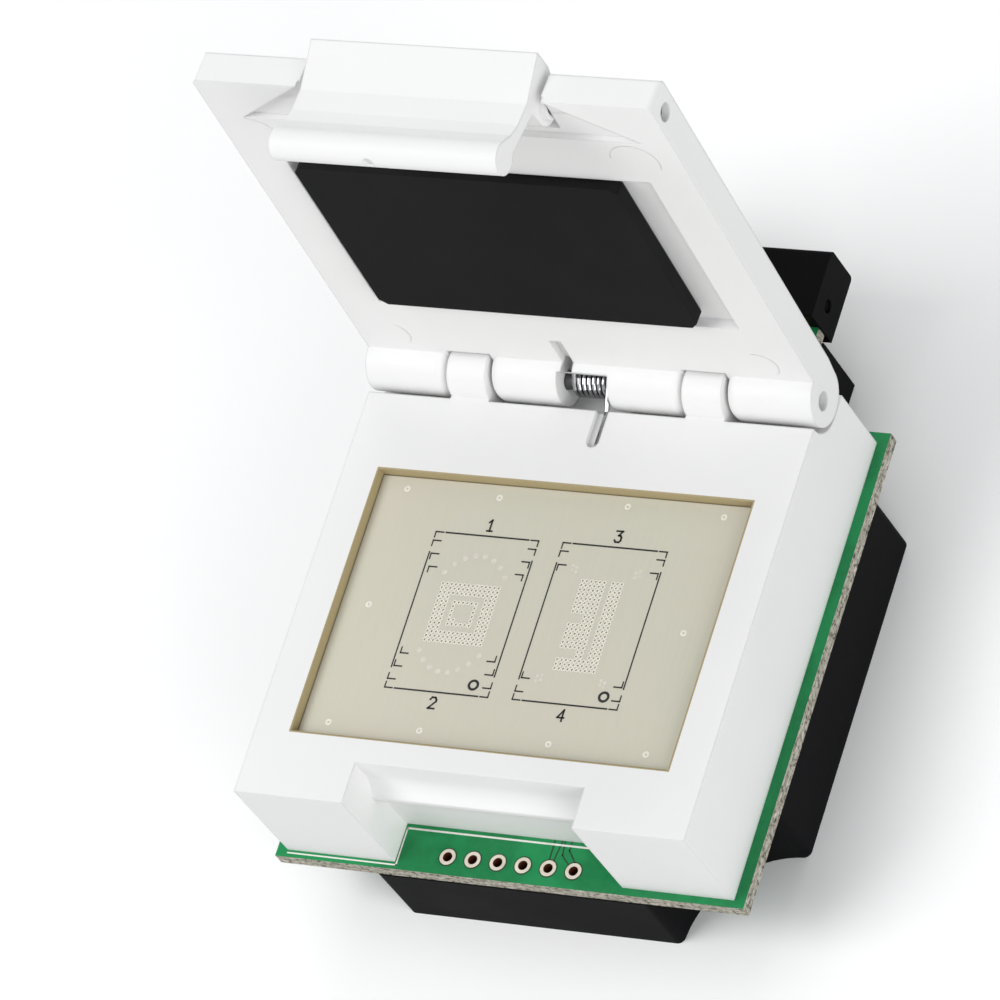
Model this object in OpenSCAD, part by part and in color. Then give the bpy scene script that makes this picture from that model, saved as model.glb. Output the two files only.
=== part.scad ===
// Open-top test adapter for two ball grid chip packages, drawn with its lid open
// X runs along the hinge, Y from the front latch to the hinge, Z up from the table

/* [Base] */
// Width of the base across its two side arms
base_w = 54; // [53:0.5:55]
// Height of the base from the table to the board
base_h = 9; // [8:0.5:11]
// Radius of the quarter-circle cut-outs at the corners of the base
corner_r = 11; // [9.5:0.5:11.5]
// Thickness of the outer wall of the base
wall = 1.5; // [1.2:0.1:1.8]
// Thickness of the closed bottom of the base
floor_t = 1.8; // [1.4:0.2:2.2]
// Width of the rear arm of the base
arm_w = 31; // [30:0.5:32]

/* [Board] */
// Thickness of the circuit board
board_t = 1.6; // [1.2:0.2:2]
// Spacing of the six plated holes along the front edge
hole_pitch = 2.92; // [2.7:0.01:3]
// Radius of the bore of a plated hole
hole_r = 0.53; // [0.45:0.01:0.6]

/* [Socket body] */
// Width of the socket body, and of the lid on it
body_w = 51.8; // [51:0.2:52.6]
// Height of the socket body above the board
body_h = 13.5; // [12.5:0.5:15]
// Width of the window that holds the guide plate
window_w = 43.4; // [42.8:0.2:44]
// Width of the front notch that the latch drops into
notch_w = 26.4; // [25.4:0.2:27]
// Radius of the trough that the lid knuckles turn in
trough_r = 3.3; // [3.3:0.05:3.5]

/* [Lid] */
// Thickness of the lid plate
lid_t = 3.7; // [3.4:0.1:4.2]
// Backward lean of the open lid, in degrees
lid_tilt = 5; // [3:1:7]
// Radius of the rounded hinge knuckles
knuckle_r = 3.15; // [3:0.05:3.15]
// Depth of the pocket behind the pressure pad
pocket_d = 1.1; // [0.9:0.1:1.4]

/* [Pad] */
// How far the pad face stands in front of the hinge line
pad_proud = 0.75; // [0.4:0.05:0.9]
// Width of the pressure pad
pad_w = 36.8; // [35:0.2:38]
// Sideways place of the pad in its wider pocket
pad_x = -1.3; // [-2:0.1:2]
// Length of the pressure pad along the lid
pad_len = 24.1; // [22:0.1:26]
// Thickness of the stiff plate behind the pad
backing_t = 0.5; // [0.3:0.1:0.7]

/* [Latch] */
// Radius of the bead along the lower edge of the latch
bead_r = 1.7; // [1.5:0.05:1.75]
// Radius of the round boss that the latch turns on
latch_boss_r = 2.2; // [1.9:0.1:2.3]

/* [Guide plate] */
// Thickness of the guide plate
plate_t = 1.6; // [1.4:0.1:2]
// Depth of the plate face below the top of the body
plate_drop = 1.2; // [1.1:0.1:1.6]
// Gap between the plate and the window on each side
plate_gap = 0.1; // [0.05:0.05:0.2]
// Free travel of the sprung plate
plate_travel = 0.5; // [0.3:0.1:0.55]
// Spacing of the ball places of both chip packages
ball_pitch = 0.5; // [0.48:0.01:0.54]

/* [Pins and screws] */
// Radius of the hinge pin and of the latch pin
pin_r = 0.95; // [0.8:0.05:1]
// Clearance of a turning bore around its pin
run_gap = 0.05; // [0.03:0.01:0.08]
// Radius of the case screw shanks
screw_r = 0.95; // [0.8:0.05:1]

/* [Springs] */
// Diameter of the hinge spring wire
wire_d = 0.5; // [0.4:0.05:0.6]
// Mean radius of the hinge spring coil
coil_r = 1.45; // [1.4:0.05:1.6]
// Diameter of the wire of the plate springs
plate_wire_d = 0.36; // [0.25:0.01:0.45]

/* [Rear socket] */
// Spacing of the contacts of the rear socket
rear_pitch = 2.54; // [2.4:0.02:2.54]
// Height of the rear socket block
rear_h = 5.8; // [5.4:0.1:6.4]

/* [Hidden] */
$fn = 64;

// Base and board, in plan
base_front = -27.3;
base_half = base_w / 2;
cut_back = 31.4;
arm_back = 37.8;
edge_r = 0.8;
board_half_w = base_half + 0.15;
board_half_d = 27.2;
tongue_half_w = arm_w / 2 - 0.2;
tongue_back = 40.5;
board_top = base_h + board_t;
hole_x0 = -0.12;
hole_y = -25.2;
barrel_t = 0.09;
pad_r = hole_r + 0.37;
pad_t = 0.04;

// Socket body
body_front = -26.4;
body_back = 26;
body_half = body_w / 2;
body_top = board_top + body_h;
window_half = window_w / 2;
window_front = -18.95;
window_back = 11.45;
notch_half = notch_w / 2;
lip_under = body_top - 6;
lip_top = lip_under + 0.7;
lip_y = -23.1;
upper_wall_y = -21.8;
lower_wall_y = -22;
scoop_r = 3.25;
scoop_z = lip_top + 2.6;
hinge_y = body_back - 2.5;
hinge_z = body_top - 0.15;
lug_r = 2.95;
lug_w = 4.5;
lug_mid = [-13.95, 13.45];
flange_half = window_half + 1.3;
flange_h = 1.4;

// Lid, in its own frame: y is the depth behind the hinge line, z the distance along it
lid_in = 0.2;
lid_out = lid_in + lid_t;
lid_l = hinge_y - body_front + 0.4;
knuckle_back = 0.5;
lug_gap = 0.3;
lid_notch_half = notch_half + 0.4;
lid_notch_u = lid_l - 5.3;
pad_foot_h = 13;
pad_side_gap = 2.4;
pad_foot_gap = 1.1;
pad_top_gap = 0.3;
pad_corner = 0.8;
backing_inset = 0.4;
recess_d = 0.7;
pad_u0 = pad_foot_h;
pad_u1 = pad_u0 + pad_len;
pocket_half_w = pad_w / 2 + pad_side_gap;
pocket_u0 = pad_u0 - pad_foot_gap;
pocket_u1 = pad_u1 + pad_top_gap;
rim_r = 1.2;
lid_corner_r = 0.8;
groove_d = wire_d + 0.1;
groove_x = 1.65;
groove_w = 1.4;
groove_end = 16.7;
slot_x0 = -3.4;
slot_x1 = 2.5;
slot_u = 2.8;
slot_back = coil_r + wire_d / 2 + 0.6;

// Latch
latch_u = lid_l - 2.8;
latch_b = lid_in + 1.7;
latch_half = notch_half - 0.4;
bead_u = lid_l + 0.7;
bead_b = -7.1;

// Guide plate and probe block
plate_top = body_top - plate_drop;
plate_under = plate_top - plate_t;
block_top = plate_under - plate_travel - 0.1;
stud_at = [[-18.3, 10], [18.3, 10], [-18.3, -17], [18.3, -17]];
coil_at = [[-7.5, 10], [7.5, 10], [-7.5, -17], [7.5, -17], [-18.3, -3.4], [18.3, -3.4]];
stud_head_z = board_top + 2.4;
stud_r = 0.55;
pocket_floor = block_top - 4;
left_at = [-7.45, -3.56];
right_at = [7.2, -3.55];
barrel_r = 0.17;
plunger_r = 0.1;

// Screws, pins and rear socket
screw_at = [[-15, -20.6], [15, -20.6], [-19, 16.5], [19, 16.5]];
head_r = screw_r + 0.85;
sink_z = 2;
dowel_r = 0.75;
dowel_x = body_half - 1.5;
rear_y0 = 38.6;
rear_y1 = 46.4;
rear_mid = base_h + board_t / 2;
rear_half = arm_w / 2 + 0.1;
rear_edge_r = 0.5;
tab_t = 0.2;
cell = 0.94;
rear_n = 12;

// A profile drawn in Y and Z, run along X from x0 to x1
module x_bar(x0, x1) {
  translate([x0, 0, 0])
    rotate([90, 0, 90])
      linear_extrude(x1 - x0)
        children();
}

// Places the lid parts: leaning back about the hinge line
module lid_frame() {
  translate([0, hinge_y, hinge_z])
    rotate([-lid_tilt, 0, 0])
      children();
}

// A rod along X
module x_rod(x0, x1, r) {
  translate([x0, 0, 0])
    rotate([0, 90, 0])
      cylinder(h = x1 - x0, r = r);
}

// Rounding where a side of the base meets a corner cut-out
module side_round(sx, cy, dy) {
  fy = cy + dy * sqrt(pow(corner_r + edge_r, 2) - pow(edge_r, 2));
  fx = sx * (base_half - edge_r);
  difference() {
    polygon([[fx, fy], [sx * (base_half + 0.5), fy], [sx * (base_half + 0.5), cy],
             [sx * base_half, cy]]);
    translate([fx, fy])
      circle(edge_r);
  }
}

// Rounding where the front of the base meets a corner cut-out
module front_round(sx) {
  fx = sx * (base_half - sqrt(pow(corner_r + edge_r, 2) - pow(edge_r, 2)));
  fy = base_front + edge_r;
  difference() {
    polygon([[fx, fy], [fx, base_front - 0.5], [sx * base_half, base_front - 0.5],
             [sx * base_half, base_front]]);
    translate([fx, fy])
      circle(edge_r);
  }
}

// Cross-shaped outline of the base, moved inwards by inset
module base_outline(inset) {
  difference() {
    union() {
      translate([-base_half + inset, base_front + inset])
        square([base_w - 2 * inset, cut_back - base_front - inset]);
      translate([-arm_w / 2 + inset, 0])
        square([arm_w - 2 * inset, arm_back - inset]);
    }
    for (sx = [-1, 1]) {
      translate([sx * base_half, base_front])
        circle(corner_r + inset);
      translate([sx * base_half, cut_back])
        circle(corner_r + inset);
      if (inset == 0) {
        side_round(sx, base_front, 1);
        side_round(sx, cut_back, -1);
        front_round(sx);
      }
    }
  }
}

module base_housing() {
  color("#1d1d1f")
    difference() {
      union() {
        difference() {
          linear_extrude(base_h)
            base_outline(0);
          translate([0, 0, floor_t])
            linear_extrude(base_h)
              base_outline(wall);
        }
        // Screw bosses
        for (p = screw_at)
          translate([p[0], p[1], floor_t / 2])
            cylinder(h = base_h - floor_t / 2, r = 2.7);
        // Post under the middle of the board
        translate([0, -3.5, floor_t / 2])
          cylinder(h = base_h - floor_t / 2, r = 3);
        // Stiffening ribs
        translate([-base_half + wall / 2, -4.1, floor_t / 2])
          cube([base_w - wall, 1.2, base_h - floor_t / 2 - 2.5]);
        for (sx = [-1, 1])
          translate([sx * 9 - 0.6, base_front + wall / 2, floor_t / 2])
            cube([1.2, arm_back - base_front - wall, base_h - floor_t / 2 - 2.5]);
      }
      for (p = screw_at)
        translate([p[0], p[1], 0]) {
          translate([0, 0, -1])
            cylinder(h = base_h + 2, r = screw_r + 0.15);
          translate([0, 0, -1])
            cylinder(h = sink_z + 1, r = head_r + 0.1);
        }
      // Room for the solder side of the plated holes
      translate([-9.5, base_front + 0.8, base_h - 4])
        cube([19, 6, 5]);
      // Room for the contact tails in the rear wall
      translate([-arm_w / 2 + 1, arm_back - wall - 1, base_h - 0.6])
        cube([arm_w - 2, wall + 2, 1]);
    }
}

module circuit_board() {
  color("#2f7d4b")
    difference() {
      translate([0, 0, base_h])
        linear_extrude(board_t)
          union() {
            translate([-board_half_w, -board_half_d])
              square([2 * board_half_w, 2 * board_half_d]);
            translate([-tongue_half_w, 0])
              square([2 * tongue_half_w, tongue_back]);
          }
      for (i = [0 : 5])
        translate([hole_x0 + (i - 2.5) * hole_pitch, hole_y, base_h - 1])
          cylinder(h = board_t + 2, r = hole_r + barrel_t + 0.01);
      for (p = screw_at)
        translate([p[0], p[1], base_h - 1])
          cylinder(h = board_t + 2, r = screw_r + 0.2);
      for (sx = [-1, 1])
        translate([sx * dowel_x, 2, base_h - 1])
          cylinder(h = board_t + 2, r = dowel_r);
    }
}

module plated_holes() {
  color("#c9ccd0")
    for (i = [0 : 5])
      translate([hole_x0 + (i - 2.5) * hole_pitch, hole_y, base_h])
        difference() {
          union() {
            translate([0, 0, -pad_t])
              cylinder(h = pad_t, r = pad_r);
            translate([0, 0, -pad_t])
              cylinder(h = board_t + 2 * pad_t, r = hole_r + barrel_t);
            translate([0, 0, board_t])
              cylinder(h = pad_t, r = pad_r);
          }
          translate([0, 0, -1])
            cylinder(h = board_t + 2, r = hole_r);
        }
}

// Everything in front of the notch wall, with its scooped upper half and catch lip
module notch_profile() {
  translate([-32, board_top - 1])
    square([32 + lower_wall_y, lip_under - board_top + 1]);
  translate([-32, lip_under - 0.5])
    square([32 + lip_y, body_h]);
  translate([upper_wall_y - scoop_r, scoop_z])
    circle(scoop_r);
  translate([-32, scoop_z])
    square([32 + upper_wall_y, body_h]);
}

module socket_body() {
  color("#ecebe7")
    difference() {
      union() {
        difference() {
          translate([-body_half, body_front, board_top])
            cube([body_w, body_back - body_front, body_h]);
          translate([0, hinge_y, hinge_z])
            x_rod(-body_half - 1, body_half + 1, trough_r);
          translate([-body_half - 1, hinge_y, hinge_z - trough_r])
            cube([body_w + 2, 5, 10]);
        }
        // Hinge lugs
        for (x = lug_mid) {
          translate([0, hinge_y, hinge_z])
            x_rod(x - lug_w / 2, x + lug_w / 2, lug_r);
          translate([x - lug_w / 2, hinge_y - trough_r - 0.1, hinge_z - trough_r - 0.6])
            cube([lug_w, trough_r + 0.1, body_top - hinge_z + trough_r + 0.6]);
          translate([x - lug_w / 2, hinge_y - 0.1, hinge_z - trough_r - 0.6])
            cube([lug_w, body_back - hinge_y + 0.1, trough_r + 0.6]);
        }
      }
      // Window and the ledge that holds the probe block down
      translate([-window_half, window_front, board_top - 1])
        cube([window_w, window_back - window_front, body_h + 2]);
      translate([-flange_half - 0.1, window_front, board_top - 1])
        cube([2 * flange_half + 0.2, window_back - window_front, flange_h + 1.05]);
      // Front notch for the latch
      x_bar(-notch_half, notch_half)
        notch_profile();
      // Hinge pin bore
      translate([0, hinge_y, hinge_z])
        x_rod(-body_half - 1, body_half + 1, pin_r);
      // Round-ended groove for the foot of the hinge spring
      translate([groove_x - groove_w / 2, groove_end, body_top - groove_d])
        cube([groove_w, 6, 2]);
      translate([groove_x, groove_end, body_top - groove_d])
        cylinder(h = 2, r = groove_w / 2);
      // Screw and pin holes from below
      for (p = screw_at)
        translate([p[0], p[1], board_top - 1])
          cylinder(h = 7.4, r = screw_r);
      for (sx = [-1, 1])
        translate([sx * dowel_x, 2, board_top - 1])
          cylinder(h = 4.6, r = dowel_r);
    }
}

module probe_block() {
  color("#cfc9a8")
    difference() {
      union() {
        translate([-window_half + 0.3, window_front + 0.25, board_top])
          cube([window_w - 0.6, window_back - window_front - 0.5, block_top - board_top]);
        translate([-flange_half, window_front + 0.25, board_top])
          cube([2 * flange_half, window_back - window_front - 0.5, flange_h]);
      }
      // Bores that guide the probe barrels
      translate([0, 0, board_top - 1])
        linear_extrude(body_h + 2) {
          left_field()
            circle(r = barrel_r + 0.03, $fn = 6);
          right_field()
            circle(r = barrel_r + 0.03, $fn = 6);
        }
      // Stepped holes for the shoulder screws
      for (p = stud_at)
        translate([p[0], p[1], board_top]) {
          translate([0, 0, -1])
            cylinder(h = body_h + 2, r = stud_r + 0.1);
          translate([0, 0, -1])
            cylinder(h = stud_head_z - board_top + 1, r = 1.3);
        }
      // Pockets for the plate springs
      for (p = coil_at)
        translate([p[0], p[1], pocket_floor])
          cylinder(h = 10, r = 1.35);
    }
}

// The left field: three outer rings, an inner ring and one corner place
function in_left(i, j) = min(i, j) < 3 || max(i, j) > 10
  || ((i == 4 || i == 9) && j >= 4 && j <= 9)
  || ((j == 4 || j == 9) && i >= 4 && i <= 9)
  || (i == 5 && j == 5);

module left_field() {
  for (i = [0 : 13])
    for (j = [0 : 13])
      if (in_left(i, j))
        translate([left_at[0] + (i - 6.5) * ball_pitch, left_at[1] + (j - 6.5) * ball_pitch])
          children();
}

// The right field: two uneven blocks, a three-row foot and a column beside them
function in_right(i, j) = i > 6 || j < 3
  || (i < 6 && (j > 12 || (j > 4 && j < 11)))
  || (i > 2 && i < 6 && j > 10)
  || (i > 3 && i < 6);

module right_field() {
  for (i = [0 : 9])
    for (j = [0 : 20])
      if (in_right(i, j))
        translate([right_at[0] + (i - 4.5) * ball_pitch, right_at[1] + (j - 10) * ball_pitch])
          children();
}

// One spring probe: a hexagonal barrel with a thinner plunger that reaches into the plate
module probe() {
  translate([0, 0, board_top])
    cylinder(h = block_top - board_top - 0.1, r = barrel_r, $fn = 6);
  translate([0, 0, block_top - 0.3])
    cylinder(h = plate_top - block_top + 0.2, r = plunger_r, $fn = 6);
}

module probes_left() {
  color("#c7a24a")
    left_field()
      probe();
}

module probes_right() {
  color("#c7a24a")
    right_field()
      probe();
}

module guide_plate() {
  color("#d9d3bd")
    difference() {
      translate([-window_half + plate_gap, window_front + plate_gap, plate_under])
        cube([window_w - 2 * plate_gap, window_back - window_front - 2 * plate_gap, plate_t]);
      // Blind holes for the shoulder screws
      for (p = stud_at)
        translate([p[0], p[1], plate_under - 1])
          cylinder(h = plate_t + 0.6, r = 0.4);
      // Ball places, open right through
      translate([0, 0, plate_under - 1])
        linear_extrude(plate_t + 2) {
          left_field()
            circle(r = plunger_r + 0.05, $fn = 6);
          right_field()
            circle(r = plunger_r + 0.05, $fn = 6);
        }
    }
}

module plate_screws() {
  color("#b9bcc0")
    for (p = stud_at)
      translate([p[0], p[1], 0]) {
        translate([0, 0, stud_head_z - 0.8])
          cylinder(h = 0.8, r = 1.1);
        translate([0, 0, stud_head_z - 0.1])
          cylinder(h = plate_under - stud_head_z + 0.1, r = stud_r);
        translate([0, 0, plate_under - 0.1])
          cylinder(h = plate_t - 0.35, r = 0.4);
      }
}

// Wire following a list of points, as a closed tube
function unit(v) = v / norm(v);
function tangents(p) = [for (i = [0 : len(p) - 1])
  unit(p[min(i + 1, len(p) - 1)] - p[max(i - 1, 0)])];
function carried(t, i, n) = let (u = unit(n - (n * t[i]) * t[i]))
  i == len(t) - 1 ? [u] : concat([u], carried(t, i + 1, u));

module wire(p, r, n) {
  t = tangents(p);
  u = carried(t, 0, abs(t[0][2]) > 0.9 ? [1, 0, 0] : [0, 0, 1]);
  pts = [for (i = [0 : len(p) - 1])
    for (k = [0 : n - 1])
      p[i] + r * cos(360 * k / n) * u[i] + r * sin(360 * k / n) * cross(t[i], u[i])];
  last = (len(p) - 1) * n;
  sides = [for (i = [0 : len(p) - 2])
    for (k = [0 : n - 1])
      for (f = [0, 1])
        f == 0
          ? [i * n + k, (i + 1) * n + k, (i + 1) * n + (k + 1) % n]
          : [i * n + k, (i + 1) * n + (k + 1) % n, i * n + (k + 1) % n]];
  front = [for (k = [1 : n - 2])
    [0, k, k + 1]];
  back = [for (k = [1 : n - 2])
    [last, last + k + 1, last + k]];
  polyhedron(points = pts, faces = concat(sides, front, back));
}

module plate_springs() {
  turns = 4.5;
  z0 = pocket_floor + plate_wire_d / 2;
  z1 = plate_under - plate_wire_d / 2;
  color("#a9adb2")
    for (p = coil_at)
      wire([for (i = [0 : 54])
        [p[0] + 1.05 * cos(i * 30), p[1] + 1.05 * sin(i * 30), z0 + (z1 - z0) * i / 54]],
        plate_wire_d / 2, 6);
}

// Flat side profile of the lid plate
module lid_profile() {
  polygon([[lid_in, 0], [lid_out - 0.25, 0], [lid_out, 2], [lid_out, lid_l - 0.4],
           [lid_out - 0.4, lid_l], [lid_in, lid_l]]);
}

// A hinge knuckle with its ends rounded where asked
module knuckle(x0, x1, round0, round1) {
  translate([x0, knuckle_back, 0])
    rotate([0, 90, 0])
      rotate_extrude()
        difference() {
          square([knuckle_r, x1 - x0]);
          if (round0)
            rim(rim_r, -1);
          if (round1)
            rim(x1 - x0 - rim_r, 1);
        }
}

// What the rounding takes off the rim of a knuckle
module rim(y, dy) {
  translate([knuckle_r - rim_r, y])
    difference() {
      translate([0, dy > 0 ? 0 : -rim_r - 1])
        square([rim_r + 1, rim_r + 1]);
      circle(rim_r);
    }
}

module lid() {
  color("#efeeea")
    lid_frame()
      difference() {
        union() {
          x_bar(-body_half, body_half)
            lid_profile();
          knuckle(-body_half, lug_mid[0] - lug_w / 2 - lug_gap, false, true);
          knuckle(lug_mid[0] + lug_w / 2 + lug_gap, lug_mid[1] - lug_w / 2 - lug_gap, true, true);
          knuckle(lug_mid[1] + lug_w / 2 + lug_gap, body_half, true, false);
        }
        // Gaps for the lugs of the body
        for (x = lug_mid)
          translate([x - lug_w / 2 - lug_gap, -8, -8])
            cube([lug_w + 2 * lug_gap, 16, 8 + lug_r + 0.45]);
        // Hinge pin bore
        x_rod(-body_half - 1, body_half + 1, pin_r + run_gap);
        // Slot for the spring coil and groove for its upper leg
        translate([slot_x0, -8, -8])
          cube([slot_x1 - slot_x0, 8 + slot_back, 8 + slot_u]);
        translate([-2.95, lid_in - 1, slot_u - 1])
          cube([1.3, 1.9, 5.1]);
        // Latch notch and the sloping recess beside it
        translate([-lid_notch_half, -2, lid_notch_u])
          cube([2 * lid_notch_half, 10, 10]);
        translate([0, lid_in + recess_d, 0])
          rotate([90, 0, 0])
            linear_extrude(4)
              polygon([[-22.5, lid_l - 6.1], [22.5, lid_l - 6.1], [13.6, lid_l + 0.1],
                       [-13.6, lid_l + 0.1]]);
        // Pad pocket
        translate([-pocket_half_w, lid_in - 1, pocket_u0])
          cube([2 * pocket_half_w, 1 + pocket_d, pocket_u1 - pocket_u0]);
        // Rounded upper corners
        for (sx = [-1, 1])
          translate([sx * (body_half - lid_corner_r), lid_out + 1, lid_l - lid_corner_r])
            rotate([90, 0, 0])
              linear_extrude(lid_t + 3)
                difference() {
                  polygon([[0, 0], [sx * (lid_corner_r + 1), 0],
                           [sx * (lid_corner_r + 1), lid_corner_r + 1], [0, lid_corner_r + 1]]);
                  circle(lid_corner_r);
                }
        // Latch pin bore
        translate([0, latch_b, latch_u])
          x_rod(-body_half - 1, body_half + 1, pin_r);
      }
}

module pad_backing() {
  color("#b4b7ba")
    lid_frame()
      translate([pad_x - pad_w / 2 + backing_inset, lid_in + pocket_d - backing_t,
                 pad_u0 + backing_inset])
        cube([pad_w - 2 * backing_inset, backing_t, pad_len - 2 * backing_inset]);
}

module pressure_pad() {
  h = pad_w / 2;
  c = pad_corner;
  color("#2a2a2c")
    lid_frame()
      translate([pad_x, lid_in + pocket_d - backing_t, 0])
        rotate([90, 0, 0])
          linear_extrude(lid_in + pocket_d - backing_t + pad_proud)
            polygon([[-h + c, pad_u0], [h - c, pad_u0], [h, pad_u0 + c], [h, pad_u1 - c],
                     [h - c, pad_u1], [-h + c, pad_u1], [-h, pad_u1 - c], [-h, pad_u0 + c]]);
}

module hinge_pin() {
  color("#c4c6c9")
    translate([0, hinge_y, hinge_z])
      x_rod(-body_half + 1.1, body_half - 1.1, pin_r);
}

module hinge_spring() {
  r = wire_d / 2;
  x0 = -1.95;
  x1 = 2;
  // Lid leg, in the lid frame, then turned to the leaning lid
  leg_b = lid_in + 0.9 - r;
  leg = [[leg_b, 6.7], [leg_b, 5.2], [leg_b, 3.6], [leg_b - 0.1, 2.9]];
  d0 = norm(leg[3]);
  a0 = atan2(leg[3][1], leg[3][0]) + acos(coil_r / d0) - lid_tilt;
  // Body leg, from the coil over the lip of the trough into its groove
  fy = -trough_r - 0.1;
  fz = body_top - groove_d + r - hinge_z;
  d1 = norm([fy, fz]);
  a1 = (atan2(fz, fy) + 360) % 360 - acos(coil_r / d1) + 360 * 7;
  n = 112;
  end_y = groove_end - 0.3 - hinge_y;
  color("#b9bbbf")
    translate([0, hinge_y, hinge_z])
      wire(concat(
        [for (q = leg)
          [x0, q[0] * cos(lid_tilt) + q[1] * sin(lid_tilt),
           q[1] * cos(lid_tilt) - q[0] * sin(lid_tilt)]],
        [for (i = [0 : n])
          let (a = a0 + (a1 - a0) * i / n)
            [x0 + (x1 - x0) * i / n, coil_r * cos(a), coil_r * sin(a)]],
        [[x1, fy + 0.2, fz + 0.08], [x1, fy - 0.3, fz], [x1, end_y, fz]]),
        r, 8);
}

// Side profile of the latch: thumb edge, hollow front and round bead
module latch_profile() {
  difference() {
    union() {
      translate([latch_b, latch_u])
        circle(latch_boss_r);
      polygon([[latch_b + 2.2, latch_u - 0.2], [latch_b + 2.9, lid_l - 0.6],
               [latch_b + 2.7, lid_l + 2.1], [1.8, lid_l + 1.2], [-0.5, lid_l + 0.5],
               [-3, lid_l + 0.6], [-4.6, lid_l + 1.1], [-5.8, lid_l + 1.9],
               [bead_b, bead_u + 1.2], [bead_b, bead_u - 1.2], [-5.4, lid_l - 0.4],
               [-3, lid_l - 0.7], [-0.5, lid_l - 1.1], [latch_b - 2.15, latch_u - 0.2]]);
      translate([bead_b, bead_u])
        circle(bead_r);
    }
    translate([latch_b, latch_u])
      circle(pin_r + run_gap);
  }
}

module latch() {
  color("#efeeea")
    lid_frame()
      difference() {
        union() {
          x_bar(-latch_half, latch_half)
            latch_profile();
          // Short collars that keep the latch centred
          difference() {
            translate([0, latch_b, latch_u])
              x_rod(-latch_half - 0.6, latch_half + 0.6, 1.6);
            translate([0, latch_b, latch_u])
              x_rod(-latch_half - 1, latch_half + 1, pin_r + run_gap);
          }
        }
        translate([-1.8, bead_b - bead_r + 0.5, bead_u])
          rotate([90, 0, 0])
            cylinder(h = 2, r = 0.6);
      }
}

module latch_pin() {
  color("#c4c6c9")
    lid_frame()
      translate([0, latch_b, latch_u])
        x_rod(-body_half + 0.9, body_half - 0.9, pin_r);
}

// Side profile of the rear socket block, its two rear edges rounded
module rear_profile() {
  z0 = rear_mid + 0.7 - rear_h / 2;
  z1 = z0 + rear_h;
  r = rear_edge_r;
  translate([rear_y0, z0])
    square([rear_y1 - r - rear_y0, rear_h]);
  translate([rear_y1 - 2 * r, z0 + r])
    square([2 * r, rear_h - 2 * r]);
  translate([rear_y1 - r, z0 + r])
    circle(r);
  translate([rear_y1 - r, z1 - r])
    circle(r);
}

module rear_socket() {
  color("#1b1b1d")
    difference() {
      x_bar(-rear_half, rear_half)
        rear_profile();
      // Slot for the board tongue and the contact tails on it
      translate([-tongue_half_w - 0.1, rear_y0 - 1, base_h - tab_t - 0.05])
        cube([2 * tongue_half_w + 0.2, tongue_back - rear_y0 + 1.5, board_t + 2 * tab_t + 0.1]);
      // Two rows of square contact cells
      for (i = [0 : rear_n - 1]) {
        x = (i - (rear_n - 1) / 2) * rear_pitch;
        translate([x - cell / 2, tongue_back - 0.1, board_top])
          cube([cell, 10, cell]);
        translate([x - cell / 2, tongue_back - 0.1, base_h - cell])
          cube([cell, 10, cell]);
      }
      // Round mark on the right end
      translate([rear_half - 0.3, 41.2, rear_mid + 0.9])
        x_rod(0, 1, 0.75);
    }
}

// Side profile of one contact: flat tail and a raised spring bend
module contact_profile() {
  polygon([[35.5, 0], [45.6, 0], [45.6, tab_t], [44.6, tab_t + 0.3], [43.2, tab_t],
           [35.5, tab_t]]);
}

module rear_contacts() {
  color("#c9b36a")
    for (i = [0 : rear_n - 1]) {
      x = (i - (rear_n - 1) / 2) * rear_pitch;
      translate([0, 0, board_top])
        x_bar(x - 0.25, x + 0.25)
          contact_profile();
      translate([0, 0, base_h])
        mirror([0, 0, 1])
          x_bar(x - 0.25, x + 0.25)
            contact_profile();
    }
}

module case_screws() {
  color("#8f9296")
    for (p = screw_at)
      translate([p[0], p[1], 0])
        difference() {
          union() {
            translate([0, 0, sink_z - 1.4])
              cylinder(h = 1.4, r = head_r);
            translate([0, 0, sink_z - 0.2])
              cylinder(h = board_top + 5.8 - sink_z, r = screw_r);
          }
          translate([0, 0, sink_z - 2.4])
            cylinder(h = 1.9, r = 0.75, $fn = 6);
        }
}

module locating_pins() {
  color("#c4c6c9")
    for (sx = [-1, 1])
      translate([sx * dowel_x, 2, base_h + 0.1])
        cylinder(h = board_t + 3.2, r = dowel_r);
}

base_housing();
circuit_board();
plated_holes();
socket_body();
probe_block();
probes_left();
probes_right();
guide_plate();
plate_springs();
plate_screws();
lid();
pad_backing();
pressure_pad();
hinge_pin();
hinge_spring();
latch();
latch_pin();
rear_socket();
rear_contacts();
case_screws();
locating_pins();
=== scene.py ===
import math

import bpy
from mathutils import Matrix, Vector


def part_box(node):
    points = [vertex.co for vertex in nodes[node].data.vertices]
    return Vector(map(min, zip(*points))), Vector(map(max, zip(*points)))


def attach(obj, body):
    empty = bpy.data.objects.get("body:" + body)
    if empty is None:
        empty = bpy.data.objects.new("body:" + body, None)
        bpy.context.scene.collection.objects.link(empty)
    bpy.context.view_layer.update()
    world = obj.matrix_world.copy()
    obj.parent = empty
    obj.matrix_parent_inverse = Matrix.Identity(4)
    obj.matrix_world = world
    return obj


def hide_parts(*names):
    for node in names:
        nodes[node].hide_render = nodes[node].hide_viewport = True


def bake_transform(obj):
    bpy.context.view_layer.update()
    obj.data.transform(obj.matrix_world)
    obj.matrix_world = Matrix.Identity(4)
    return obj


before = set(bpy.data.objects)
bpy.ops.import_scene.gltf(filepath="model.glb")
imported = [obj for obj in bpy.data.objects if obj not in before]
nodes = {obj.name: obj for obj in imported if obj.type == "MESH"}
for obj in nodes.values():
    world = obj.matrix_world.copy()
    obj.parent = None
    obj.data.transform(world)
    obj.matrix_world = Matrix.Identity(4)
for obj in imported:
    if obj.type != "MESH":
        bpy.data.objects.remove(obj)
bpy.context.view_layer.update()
MM = 0.001


# Materials

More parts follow.
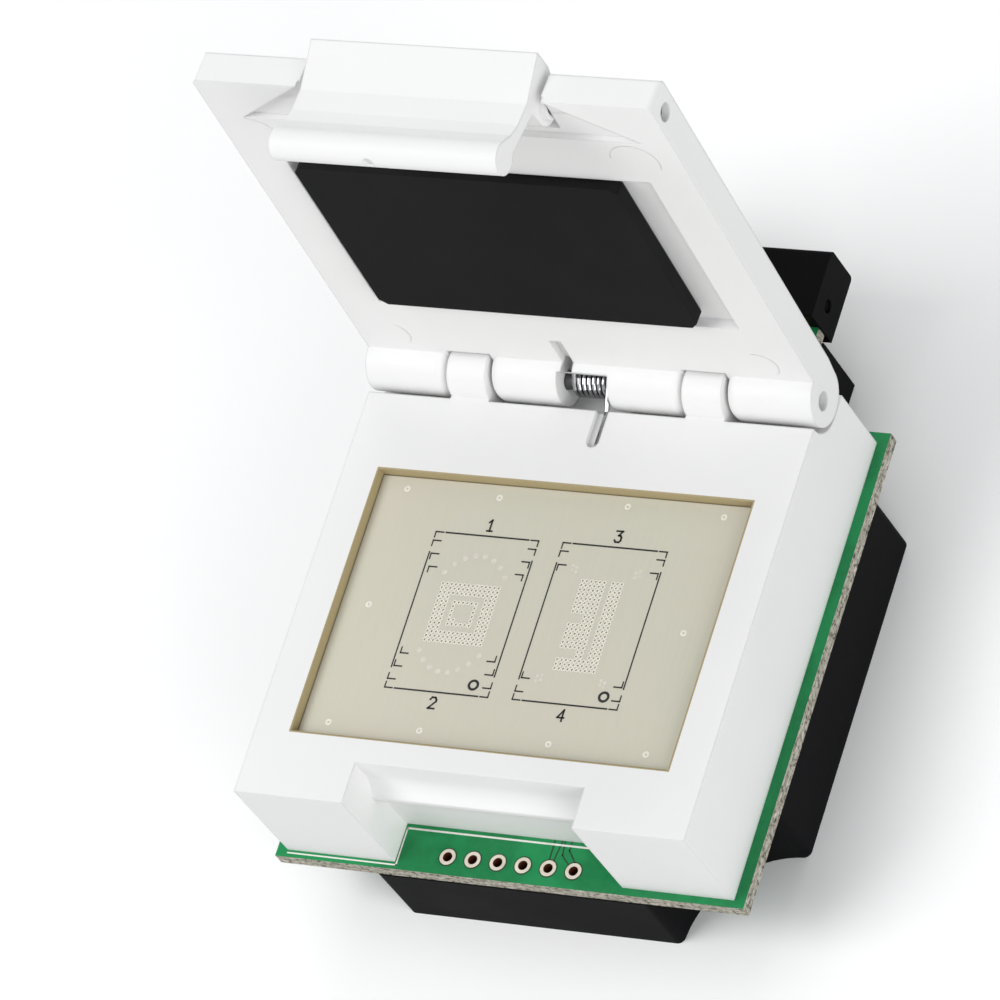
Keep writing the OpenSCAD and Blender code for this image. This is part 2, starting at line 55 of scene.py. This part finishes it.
class Mat:
    """A node material, built step by step."""

    def __init__(self, name, color, rough, metal=0.0, **sockets):
        self.m = bpy.data.materials.new(name)
        self.m.use_nodes = True
        self.t = self.m.node_tree
        self.b = self.t.nodes["Principled BSDF"]
        self.b.inputs["Base Color"].default_value = (*color, 1)
        self.b.inputs["Roughness"].default_value = rough
        self.b.inputs["Metallic"].default_value = metal
        for k, v in sockets.items():
            self.b.inputs[k.replace("_", " ")].default_value = v
        self.co = self.t.nodes.new("ShaderNodeTexCoord").outputs["Object"]

    def node(self, kind, **values):
        n = self.t.nodes.new(kind)
        for k, v in values.items():
            if k in n.inputs.keys():
                n.inputs[k].default_value = v
            else:
                setattr(n, k, v)
        return n

    def link(self, a, b):
        self.t.links.new(a, b)

    def math(self, operation, a, b=None):
        """A math node; each operand is a number or an output."""
        n = self.node("ShaderNodeMath", operation=operation)
        for socket, v in zip(n.inputs, (a, b)):
            if v is None:
                continue
            if isinstance(v, (int, float)):
                socket.default_value = v
            else:
                self.link(v, socket)
        return n.outputs[0]

    def place(self):
        """The three coordinates of the shaded point, in metres."""
        n = self.node("ShaderNodeSeparateXYZ")
        self.link(self.co, n.inputs["Vector"])
        return n.outputs["X"], n.outputs["Y"], n.outputs["Z"]

    def scaled(self, sx, sy, sz):
        n = self.node("ShaderNodeMapping")
        n.inputs["Scale"].default_value = (sx, sy, sz)
        self.link(self.co, n.inputs["Vector"])
        return n.outputs["Vector"]

    def noise(self, scale, detail=3.0, stretch=None, rough=0.5):
        n = self.node("ShaderNodeTexNoise", Scale=scale, Detail=detail, Roughness=rough)
        self.link(self.scaled(*stretch) if stretch else self.co, n.inputs["Vector"])
        return n.outputs["Fac"]

    def remap(self, value, a, b, low, high):
        n = self.node("ShaderNodeMapRange")
        for k, v in {"From Min": a, "From Max": b, "To Min": low, "To Max": high}.items():
            n.inputs[k].default_value = v
        self.link(value, n.inputs["Value"])
        return n.outputs["Result"]

    def mix(self, fac, a, b):
        """Colour a where fac is 0, colour b where it is 1."""
        n = self.node("ShaderNodeMix", data_type="RGBA")
        for socket, v in zip([i for i in n.inputs if i.type == "RGBA"], (a, b)):
            if isinstance(v, tuple):
                socket.default_value = (*v, 1)
            else:
                self.link(v, socket)
        self.link(fac, n.inputs[0])
        return [o for o in n.outputs if o.type == "RGBA"][0]

    def color(self, out):
        self.link(out, self.b.inputs["Base Color"])

    def rough(self, out):
        self.link(out, self.b.inputs["Roughness"])

    def surface(self, height=None, strength=0.2, distance=0.00005, edge=None):
        """Bump from a height, on top of a soft edge of the given radius."""
        last = None
        if edge:
            bev = self.node("ShaderNodeBevel", samples=6)
            bev.inputs["Radius"].default_value = edge
            last = bev.outputs["Normal"]
        if height is not None:
            bump = self.node("ShaderNodeBump", Strength=strength, Distance=distance)
            self.link(height, bump.inputs["Height"])
            if last:
                self.link(last, bump.inputs["Normal"])
            last = bump.outputs["Normal"]
        if last:
            self.link(last, self.b.inputs["Normal"])


def shade(color, k):
    return tuple(min(1.0, c * k) for c in color)


def white_plastic(name, color, lining_and_shade_box=None):
    """Satin white moulding. The optional box marks the window's inner walls, which get an
    amber-brown colour: partly a lining's own tint, partly painted shade and the plate's colour
    painted on as reflected light.
    """
    m = Mat(name, color, 0.45, Specular_IOR_Level=0.22, Subsurface_Weight=0.1,
            Subsurface_Radius=(1.0, 0.95, 0.9), Subsurface_Scale=0.001)
    broad = m.noise(70, 4)
    fine = m.noise(2600, 3)
    out = m.mix(m.remap(broad, 0.3, 0.7, 0, 1), shade(color, 0.975), color)
    if lining_and_shade_box:
        (x0, y0, z0), (x1, y1, z1) = lining_and_shade_box
        x, y, z = m.place()
        inside = m.math("LESS_THAN", m.math("ABSOLUTE", m.math("SUBTRACT", x, (x0 + x1) / 2)),
                        (x1 - x0) / 2)
        inside_y = m.math("LESS_THAN", m.math("ABSOLUTE", m.math("SUBTRACT", y, (y0 + y1) / 2)),
                          (y1 - y0) / 2)
        below = m.remap(z, z1 - 0.0001, z1, 1, 0)
        mask = m.math("MULTIPLY", m.math("MULTIPLY", inside, inside_y), below)
        # Painted shade: inside the box, up to just below the body's top, the walls turn
        # amber-brown. This stands in for their shadow and the plate's reflected colour, on top of
        # a lining tint.
        out = m.mix(mask, out, (0.42, 0.345, 0.19))
    m.color(out)
    m.rough(m.remap(broad, 0.3, 0.7, 0.42, 0.5))
    m.surface(fine, 0.16, 0.00005, edge=0.00028)
    return m.m


def black_plastic(name, color, rough, grain, strength, edge=0.0003, specular=0.02):
    m = Mat(name, color, rough, Specular_IOR_Level=specular)
    broad = m.noise(90, 4)
    fine = m.noise(grain, 4, rough=0.6)
    m.color(m.mix(m.remap(broad, 0.3, 0.7, 0, 1), color, shade(color, 1.35)))
    m.rough(m.remap(broad, 0.3, 0.7, rough - 0.06, rough + 0.06))
    m.surface(fine, strength, 0.00006, edge=edge)
    return m.m


def steel(name, color=(0.6, 0.6, 0.61), rough=0.24, stretch=(30, 900, 900)):
    m = Mat(name, color, rough, 1.0)
    lines = m.noise(3, 2, stretch)
    m.rough(m.remap(lines, 0.3, 0.7, rough - 0.07, rough + 0.1))
    m.color(m.mix(lines, shade(color, 0.85), shade(color, 1.1)))
    m.surface(lines, 0.06, 0.00002, edge=0.00008)
    return m.m


def board():
    """Green mask on the faces, rough cream laminate with its cut glass layers on the edges."""
    bare, copper = (0.006, 0.18, 0.053), (0.01, 0.245, 0.075)
    m = Mat("board", bare, 0.3, Specular_IOR_Level=0.25)
    geo = m.node("ShaderNodeNewGeometry")
    sep = m.node("ShaderNodeSeparateXYZ")
    m.link(geo.outputs["True Normal"], sep.inputs["Vector"])
    face = m.remap(m.math("ABSOLUTE", sep.outputs["Z"]), 0.45, 0.55, 0, 1)
    weave = m.noise(1500, 2)
    mask = m.mix(m.remap(m.noise(120, 3), 0.45, 0.55, 0, 1), bare, copper)
    mask = m.mix(m.remap(weave, 0.3, 0.7, 0, 0.25), mask, (0.018, 0.27, 0.088))
    layers = m.noise(4, 3, (130, 130, 2400), rough=0.7)
    crumbs = m.noise(1800, 4, rough=0.7)
    cream = m.mix(m.remap(layers, 0.38, 0.62, 0, 1), (0.22, 0.2, 0.15), (0.7, 0.67, 0.58))
    cream = m.mix(m.remap(crumbs, 0.47, 0.66, 0, 1), cream, (0.05, 0.045, 0.03))
    m.color(m.mix(face, cream, mask))
    m.rough(m.remap(face, 0, 1, 0.8, 0.27))
    h = m.node("ShaderNodeMix", data_type="FLOAT")
    m.link(face, h.inputs[0])
    m.link(crumbs, h.inputs[2])
    m.link(m.noise(500, 2), h.inputs[3])
    m.surface(h.outputs[0], 0.35, 0.00006)
    return m.m


def plate_material():
    """Fine-milled, slightly see-through plastic with faint clouds."""
    color = (0.625, 0.605, 0.5)
    m = Mat("plate", color, 0.42, Specular_IOR_Level=0.4, Subsurface_Weight=0.2,
            Subsurface_Radius=(1.0, 0.9, 0.7), Subsurface_Scale=0.0015)
    lines = m.noise(3, 3, (1500, 40, 60), rough=0.6)
    clouds = m.noise(38, 3)
    base = m.mix(m.remap(clouds, 0.38, 0.62, 0, 1), (0.635, 0.6, 0.5), (0.61, 0.605, 0.495))
    m.color(m.mix(m.remap(lines, 0.35, 0.65, 0, 0.35), base, shade(color, 1.06)))
    m.rough(m.remap(lines, 0.3, 0.7, 0.38, 0.48))
    m.surface(lines, 0.05, 0.00003, edge=0.0001)
    return m.m


def plating():
    """Cream tin rim on the face and a reddish brown bore."""
    m = Mat("plating", (0.75, 0.67, 0.55), 0.35, 0.35)
    geo = m.node("ShaderNodeNewGeometry")
    sep = m.node("ShaderNodeSeparateXYZ")
    m.link(geo.outputs["True Normal"], sep.inputs["Vector"])
    face = m.remap(m.math("ABSOLUTE", sep.outputs["Z"]), 0.45, 0.55, 0, 1)
    grain = m.noise(900, 3)
    rim = m.mix(grain, (0.66, 0.58, 0.47), (0.86, 0.79, 0.68))
    m.color(m.mix(face, (0.16, 0.05, 0.025), rim))
    m.rough(m.remap(grain, 0.3, 0.7, 0.3, 0.45))
    m.surface(grain, 0.15, 0.00003)
    return m.m


def flat_paint(name, color, rough, metal=0.0, grain=3000):
    m = Mat(name, color, rough, metal)
    n = m.noise(grain, 3)
    m.color(m.mix(m.remap(n, 0.3, 0.7, 0, 1), shade(color, 0.85), color))
    m.surface(n, 0.1, 0.00002)
    return m.m


plate_lo, plate_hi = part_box("guide_plate")
body_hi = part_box("socket_body")[1]
PLATE_GAP = 0.0003
# Box of the window's inner walls, which get the painted shade and the lining tint in the body's
# material
WALL_LINING_AND_SHADE = ((plate_lo.x - PLATE_GAP, plate_lo.y - PLATE_GAP, plate_lo.z),
         (plate_hi.x + PLATE_GAP, plate_hi.y + PLATE_GAP, body_hi.z - 0.00015))

WHITE_COLOR = (0.86, 0.86, 0.855)
WHITE = white_plastic("white_moulding", WHITE_COLOR)
BODY = white_plastic("white_body", WHITE_COLOR, WALL_LINING_AND_SHADE)
BLACK = black_plastic("black_moulding", (0.006, 0.006, 0.0066), 0.5, 2200, 0.25)
CONNECTOR = black_plastic("connector", (0.004, 0.004, 0.0044), 0.42, 1500, 0.15, 0.00015)
PAD = black_plastic("pad", (0.0125, 0.0125, 0.0127), 0.6, 1200, 0.08, 0.00012, 0.02)
BLOCK = flat_paint("block", (0.5, 0.44, 0.3), 0.5)
STEEL = steel("steel")
WIRE = steel("wire", (0.36, 0.36, 0.37), 0.16, (200, 200, 200))
# Dark steel for the pins, darkened further as painted shade so that their ends read like the
# shaded holes around them
PIN = steel("pin", (0.12, 0.12, 0.125), 0.4, (200, 200, 200))
# Dark steel for the pad's backing; its dark colour also serves as painted shade where it shows as
# a slit beside the pad
BACKING = steel("backing", (0.3, 0.3, 0.31), 0.4, (900, 30, 30))
TIN = plating()
GOLD = flat_paint("gold", (0.8, 0.58, 0.24), 0.3, 1.0)
TIP = flat_paint("probe_tip", (0.86, 0.78, 0.58), 0.35, 0.4)
BOARD = board()
PLATE = plate_material()

by_node = {
    "base_housing": BLACK, "circuit_board": BOARD, "plated_holes": TIN, "socket_body": BODY,
    "probe_block": BLOCK, "probes_left": TIP, "probes_right": TIP, "guide_plate": PLATE,
    "plate_springs": WIRE, "plate_screws": STEEL, "lid": WHITE, "pad_backing": BACKING,
    "pressure_pad": PAD, "hinge_pin": PIN, "hinge_spring": WIRE, "latch": WHITE,
    "latch_pin": PIN, "rear_socket": CONNECTOR, "rear_contacts": GOLD, "case_screws": STEEL,
    "locating_pins": STEEL,
}
for name, mat in by_node.items():
    o = nodes[name]
    o.data.materials.clear()
    o.data.materials.append(mat)


# Helpers that make thin pieces

def mesh_object(name, verts, faces, mat, body):
    """A mesh given in millimetres, riding on a body."""
    me = bpy.data.meshes.new(name)
    me.from_pydata([tuple(c * MM for c in v) for v in verts], [], faces)
    me.update()
    me.materials.append(mat)
    o = bpy.data.objects.new(name, me)
    bpy.context.collection.objects.link(o)
    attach(o, body)
    return o


class Build:
    """Collects simple solids in millimetres in one mesh."""

    def __init__(self):
        self.v = []
        self.f = []

    def prism(self, pts, z0, z1):
        """A flat outline, counter-clockwise, from z0 to z1."""
        n = len(pts)
        i = len(self.v)
        self.v += [(x, y, z0) for x, y in pts] + [(x, y, z1) for x, y in pts]
        self.f.append(tuple(i + k for k in reversed(range(n))))
        self.f.append(tuple(i + n + k for k in range(n)))
        for k in range(n):
            a, b = i + k, i + (k + 1) % n
            self.f.append((a, b, b + n, a + n))

    def line(self, a, b, w, z0, z1):
        """A straight bar of width w between two points, with square ends."""
        d = Vector((b[0] - a[0], b[1] - a[1]))
        t = d.normalized() * (w / 2)
        p = Vector((-t.y, t.x))
        a, b = Vector(a) - t, Vector(b) + t
        self.prism([tuple(a - p), tuple(b - p), tuple(b + p), tuple(a + p)], z0, z1)

    def path(self, pts, w, z0, z1):
        for a, b in zip(pts, pts[1:]):
            self.line(a, b, w, z0, z1)

    def disc(self, x, y, r, z0, z1, n=12):
        self.prism([(x + r * math.cos(2 * math.pi * k / n), y + r * math.sin(2 * math.pi * k / n))
                    for k in range(n)], z0, z1)

    def ring(self, x, y, r0, r1, z0, z1, n=28, turn=(0, 360)):
        """A flat ring, or the arc of one between two angles in degrees."""
        closed = turn[1] - turn[0] == 360
        m = n if closed else n + 1
        angles = [math.radians(turn[0] + (turn[1] - turn[0]) * k / n) for k in range(m)]
        i = len(self.v)
        for z in (z0, z1):
            for r in (r0, r1):
                self.v += [(x + r * math.cos(a), y + r * math.sin(a), z) for a in angles]
        a, b, c, d = i, i + m, i + 2 * m, i + 3 * m
        for k in range(n):
            j = (k + 1) % m
            self.f.append((c + k, d + k, d + j, c + j))
            self.f.append((a + k, a + j, b + j, b + k))
            self.f.append((b + k, b + j, d + j, d + k))
            self.f.append((a + k, c + k, c + j, a + j))
        if not closed:
            self.f.append((a, b, d, c))
            self.f.append((a + n, c + n, d + n, b + n))


# Print on the guide plate

PZ = plate_hi.z / MM
INK_TOP = PZ + 0.015
PALE_TOP = PZ + 0.008
INK = flat_paint("ink", (0.006, 0.006, 0.006), 0.6)
PALE = flat_paint("pale_rim", (0.92, 0.9, 0.78), 0.55)
FAINT = flat_paint("faint_pad", (0.76, 0.73, 0.63), 0.5)

PACKAGE_L = 18
LEG_X = 0.88
LEG_Y = 0.64
LINE_GAP = 0.3
SIDE_START = 2.35
LEFT_PACKAGE = (-13.45, -12.56)
RIGHT_PACKAGE = (1.36, -12.48)
PACKAGE_W = 12


def corner(b, x, y, sx, sy):
    """Two short legs that meet at a corner and point inwards along sx and sy."""
    b.line((x, y), (x + sx * LEG_X, y), 0.16, PZ, INK_TOP)
    b.line((x, y), (x, y + sy * LEG_Y), 0.14, PZ, INK_TOP)


def package(b, x0, y0, marks):
    """Outline of a package, with the corner marks of shorter ones nested in it."""
    x1, y1 = x0 + PACKAGE_W, y0 + PACKAGE_L
    for x in (x0, x1):
        b.line((x, y0 + SIDE_START), (x, y1 - SIDE_START), 0.15, PZ, INK_TOP)
    reach = LEG_X + LINE_GAP
    for y in (y0, y1):
        b.line((x0 + reach, y), (x1 - reach, y), 0.18, PZ, INK_TOP)
    for d, e in [(0, 0)] + marks:
        for sx, x in ((1, x0 + e), (-1, x1 - e)):
            for sy, y in ((1, y0 + d), (-1, y1 - d)):
                corner(b, x, y, sx, sy)


# Strokes of the plain numerals, in a box of width 0.6 and height 1
NUMERALS = {
    "1": [[(0.1, 0.78), (0.32, 1), (0.32, 0)], [(0.1, 0), (0.54, 0)]],
    "2": [[(0.02, 0.8), (0.15, 1), (0.45, 1), (0.58, 0.8), (0.58, 0.65), (0.02, 0), (0.58, 0)]],
    "3": [[(0.02, 1), (0.58, 1), (0.28, 0.6), (0.48, 0.58), (0.58, 0.42), (0.58, 0.16),
           (0.45, 0), (0.15, 0), (0.02, 0.16)]],
    "4": [[(0.46, 0), (0.46, 1), (0.02, 0.3), (0.6, 0.3)]],
}
NUMERAL_H = 1.25


def numeral(b, text, x, y):
    for stroke in NUMERALS[text]:
        b.path([(x + (p - 0.3) * NUMERAL_H, y + q * NUMERAL_H) for p, q in stroke],
               0.2, PZ, INK_TOP)


def print_on_plate():
    b = Build()
    for (x0, y0), marks, names in (
            (LEFT_PACKAGE, [(1.0, 0), (2.5, 0.25), (4.0, 0.5)], "12"),
            (RIGHT_PACKAGE, [(0.95, 0), (2.5, 0.25)], "34")):
        package(b, x0, y0, marks)
        numeral(b, names[0], x0 + PACKAGE_W / 2, y0 + PACKAGE_L + 0.6)
        numeral(b, names[1], x0 + PACKAGE_W / 2, y0 - 0.6 - NUMERAL_H)
    for x, y in ((-3.5, -11.35), (11.45, -11.2)):
        b.ring(x, y, 0.36, 0.64, PZ, INK_TOP)
    mesh_object("plate_print", b.v, b.f, INK, "plate")


# Ball fields and tooling marks

PITCH = 0.5
LEFT_AT = (-7.45, -3.56)
RIGHT_AT = (7.2, -3.55)


def in_left(i, j):
    return (min(i, j) < 3 or max(i, j) > 10 or (i in (4, 9) and 4 <= j <= 9)
            or (j in (4, 9) and 4 <= i <= 9) or (i == 5 and j == 5))


def in_right(i, j):
    return (i > 6 or j < 3 or (i < 6 and (j > 12 or 4 < j < 11))
            or (2 < i < 6 and j > 10) or 3 < i < 6)


def marks_on_plate():
    b = Build()
    fields = [(LEFT_AT, i - 6.5, j - 6.5) for i in range(14) for j in range(14) if in_left(i, j)]
    fields += [(RIGHT_AT, i - 4.5, j - 10) for i in range(10) for j in range(21) if in_right(i, j)]
    for (x, y), i, j in fields:
        b.ring(x + i * PITCH, y + j * PITCH, 0.125, 0.24, PZ, PALE_TOP, 12)
    for x, y in ((-18.4, 10), (18.4, 10), (-7.5, 9.9), (7.3, 10.2), (-18.4, -3.5), (18, -3.3),
                 (-18.5, -17.1), (-7.9, -17), (7, -17), (18.1, -17)):
        b.ring(x, y, 0.14, 0.36, PZ, PALE_TOP, 20)
    mesh_object("plate_marks", b.v, b.f, PALE, "plate")


def faint_pads():
    """Milled pads above and below the left field and at the corners of the right one."""
    b = Build()
    for k in range(8):
        a = math.radians(42 + 96 * k / 7)
        for side in (1, -1):
            b.disc(LEFT_AT[0] + 4.7 * math.cos(a), LEFT_AT[1] + side * 6.7 * math.sin(a),
                   0.3, PZ, PZ + 0.004)
    for sx in (1, -1):
        for sy in (1, -1):
            for k in range(4):
                b.disc(RIGHT_AT[0] + sx * (3.4 + 0.45 * (k % 2)),
                       RIGHT_AT[1] + sy * (5.9 + 0.5 * (k // 2) + 0.2 * (k % 2)),
                       0.2, PZ, PZ + 0.004)
    mesh_object("plate_pads", b.v, b.f, FAINT, "plate")


print_on_plate()
marks_on_plate()
faint_pads()


# Silk lines and copper traces on the board

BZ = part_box("circuit_board")[1].z / MM
SILK = flat_paint("silk", (0.85, 0.83, 0.78), 0.5)
TRACE = flat_paint("trace", (0.001, 0.045, 0.015), 0.4)
SILK_Y = -22.5
SILK_X = -13.0
SILK_EDGE_Y = -26.72


def board_print():
    b = Build()
    b.line((SILK_X, SILK_Y), (13.0, SILK_Y), 0.21, BZ, BZ + 0.02)
    b.path([(SILK_X, SILK_Y), (SILK_X, SILK_EDGE_Y), (-25.8, SILK_EDGE_Y)], 0.16, BZ, BZ + 0.02)
    mesh_object("board_silk", b.v, b.f, SILK, "base")
    b = Build()
    for pts in ([(4.07, -22.1), (4.09, -24.3)], [(4.92, -22.1), (4.63, -24.2)],
                [(5.26, -22.1), (5.39, -23.6), (6.28, -24.46)],
                [(6.03, -22.1), (6.01, -23.0), (7.0, -24.2)]):
        b.path(pts, 0.16, BZ, BZ + 0.012)
    for k in range(6):
        b.ring(-0.12 + (k - 2.5) * 2.92, -25.2, 0.92, 1.05, BZ, BZ + 0.012, 36)
    mesh_object("board_traces", b.v, b.f, TRACE, "base")


board_print()


# Ejector marks on the inner face of the lid

hinge = (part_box("hinge_pin")[0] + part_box("hinge_pin")[1]) / 2 / MM
LEAN = math.radians(5)
LID_FACE = 0.2


def lid_point(x, b, u):
    """A point of the lid: b is its depth behind the hinge line, u the distance along the lid."""
    return (x, hinge.y + b * math.cos(LEAN) + u * math.sin(LEAN),
            hinge.z - b * math.sin(LEAN) + u * math.cos(LEAN))


# Place across and along the lid, radius, and the angles where the mark shows
EJECTOR_MARKS = (
    (20.7, 5.4, 2.0, (-45, 100)),
    (-21.8, 5.9, 2.0, (-45, 60)),
    (20.65, 41.0, 2.6, (-25, 173)),
    (-22.4, 41.3, 2.65, (5, 92)),
)
MARK_W = 0.09


def ejector_marks():
    b = Build()
    for x, u, r, turn in EJECTOR_MARKS:
        b.ring(x, u, r, r + MARK_W, -LID_FACE, 0.025 - LID_FACE, 40, turn)
    verts = [lid_point(x, -n, u) for x, u, n in b.v]
    mesh_object("ejector_marks", verts, b.f, WHITE, "lid")


ejector_marks()


# Springs: smooth-shaded copies that stand in for the coils

def soft_spring(node, name):
    """A smooth-shaded copy of a coil, without its rig keys, that stands in for the hidden
    original.
    """
    coil = nodes[node]
    spring = coil.copy()
    spring.data = coil.data.copy()
    for key in [k for k in spring.keys() if k.startswith("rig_")]:
        del spring[key]
    spring.parent = None
    spring.matrix_world = Matrix.Identity(4)
    spring.name = name
    bpy.context.collection.objects.link(spring)
    for p in spring.data.polygons:
        p.use_smooth = True
    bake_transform(spring)
    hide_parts(node)


soft_spring("hinge_spring", "hinge_spring_wire")
soft_spring("plate_springs", "plate_spring_wires")


# Floor, world and lamps

def background_rays(tree):
    """1 for rays from the camera and for what gloss and glass show, else 0."""
    path = tree.nodes.new("ShaderNodeLightPath")
    total = path.outputs["Is Camera Ray"]
    for other in ("Is Glossy Ray", "Is Transmission Ray"):
        n = tree.nodes.new("ShaderNodeMath")
        n.operation = "MAXIMUM"
        tree.links.new(total, n.inputs[0])
        tree.links.new(path.outputs[other], n.inputs[1])
        total = n.outputs[0]
    return total


def make_floor():
    m = Mat("floor", (0.7, 0.7, 0.7), 0.4, Specular_IOR_Level=0.35)
    m.color(m.mix(background_rays(m.t), (0.62, 0.62, 0.62), (1.0, 1.0, 1.0)))
    m.rough(m.remap(m.noise(40, 3), 0.3, 0.7, 0.3, 0.38))
    bpy.ops.mesh.primitive_plane_add(size=4, location=(0, 0, 0))
    floor = bpy.context.object
    floor.name = "floor"
    floor.data.materials.append(m.m)


def make_world():
    world = bpy.data.worlds.new("studio")
    world.use_nodes = True
    t = world.node_tree
    back = t.nodes["Background"]
    back.inputs["Color"].default_value = (0.97, 0.98, 1.0, 1)
    level = t.nodes.new("ShaderNodeMapRange")
    level.inputs["To Min"].default_value = 0.42
    level.inputs["To Max"].default_value = 0.9
    t.links.new(background_rays(t), level.inputs["Value"])
    t.links.new(level.outputs["Result"], back.inputs["Strength"])
    bpy.context.scene.world = world


def area(name, at, size, power, target=(0, 0, 0.03), color=(1, 1, 1)):
    d = bpy.data.lights.new(name, "AREA")
    d.energy = power
    d.size = size
    d.color = color
    o = bpy.data.objects.new(name, d)
    o.location = at
    o.rotation_mode = "QUATERNION"
    o.rotation_quaternion = (Vector(target) - Vector(at)).to_track_quat("-Z", "Y")
    bpy.context.collection.objects.link(o)


make_floor()
make_world()
area("key", (-0.44, -0.3, 0.76), 0.5, 4.15)
area("fill", (0.64, -0.4, 0.34), 0.6, 3.5)
area("back", (-0.1, 0.6, 0.4), 0.5, 1.3)


# Camera, at the photograph's angle

RIGHT = Vector((0.8742, 0.2895, -0.3899))
UP = Vector((-0.079, 0.877, 0.474))
BACK = Vector((0.4792, -0.3835, 0.7895))
EYE = Vector((0.41588, -0.3291, 0.72029))

cam_data = bpy.data.cameras.new("camera")
cam_data.sensor_width = 36
cam_data.lens = 310.54
cam_data.clip_start = 0.05
cam_data.clip_end = 20
cam = bpy.data.objects.new("camera", cam_data)
cam.matrix_world = Matrix((
    (RIGHT.x, UP.x, BACK.x, EYE.x),
    (RIGHT.y, UP.y, BACK.y, EYE.y),
    (RIGHT.z, UP.z, BACK.z, EYE.z),
    (0, 0, 0, 1),
))
bpy.context.collection.objects.link(cam)
bpy.context.scene.camera = cam
bpy.context.scene.view_settings.view_transform = "Standard"
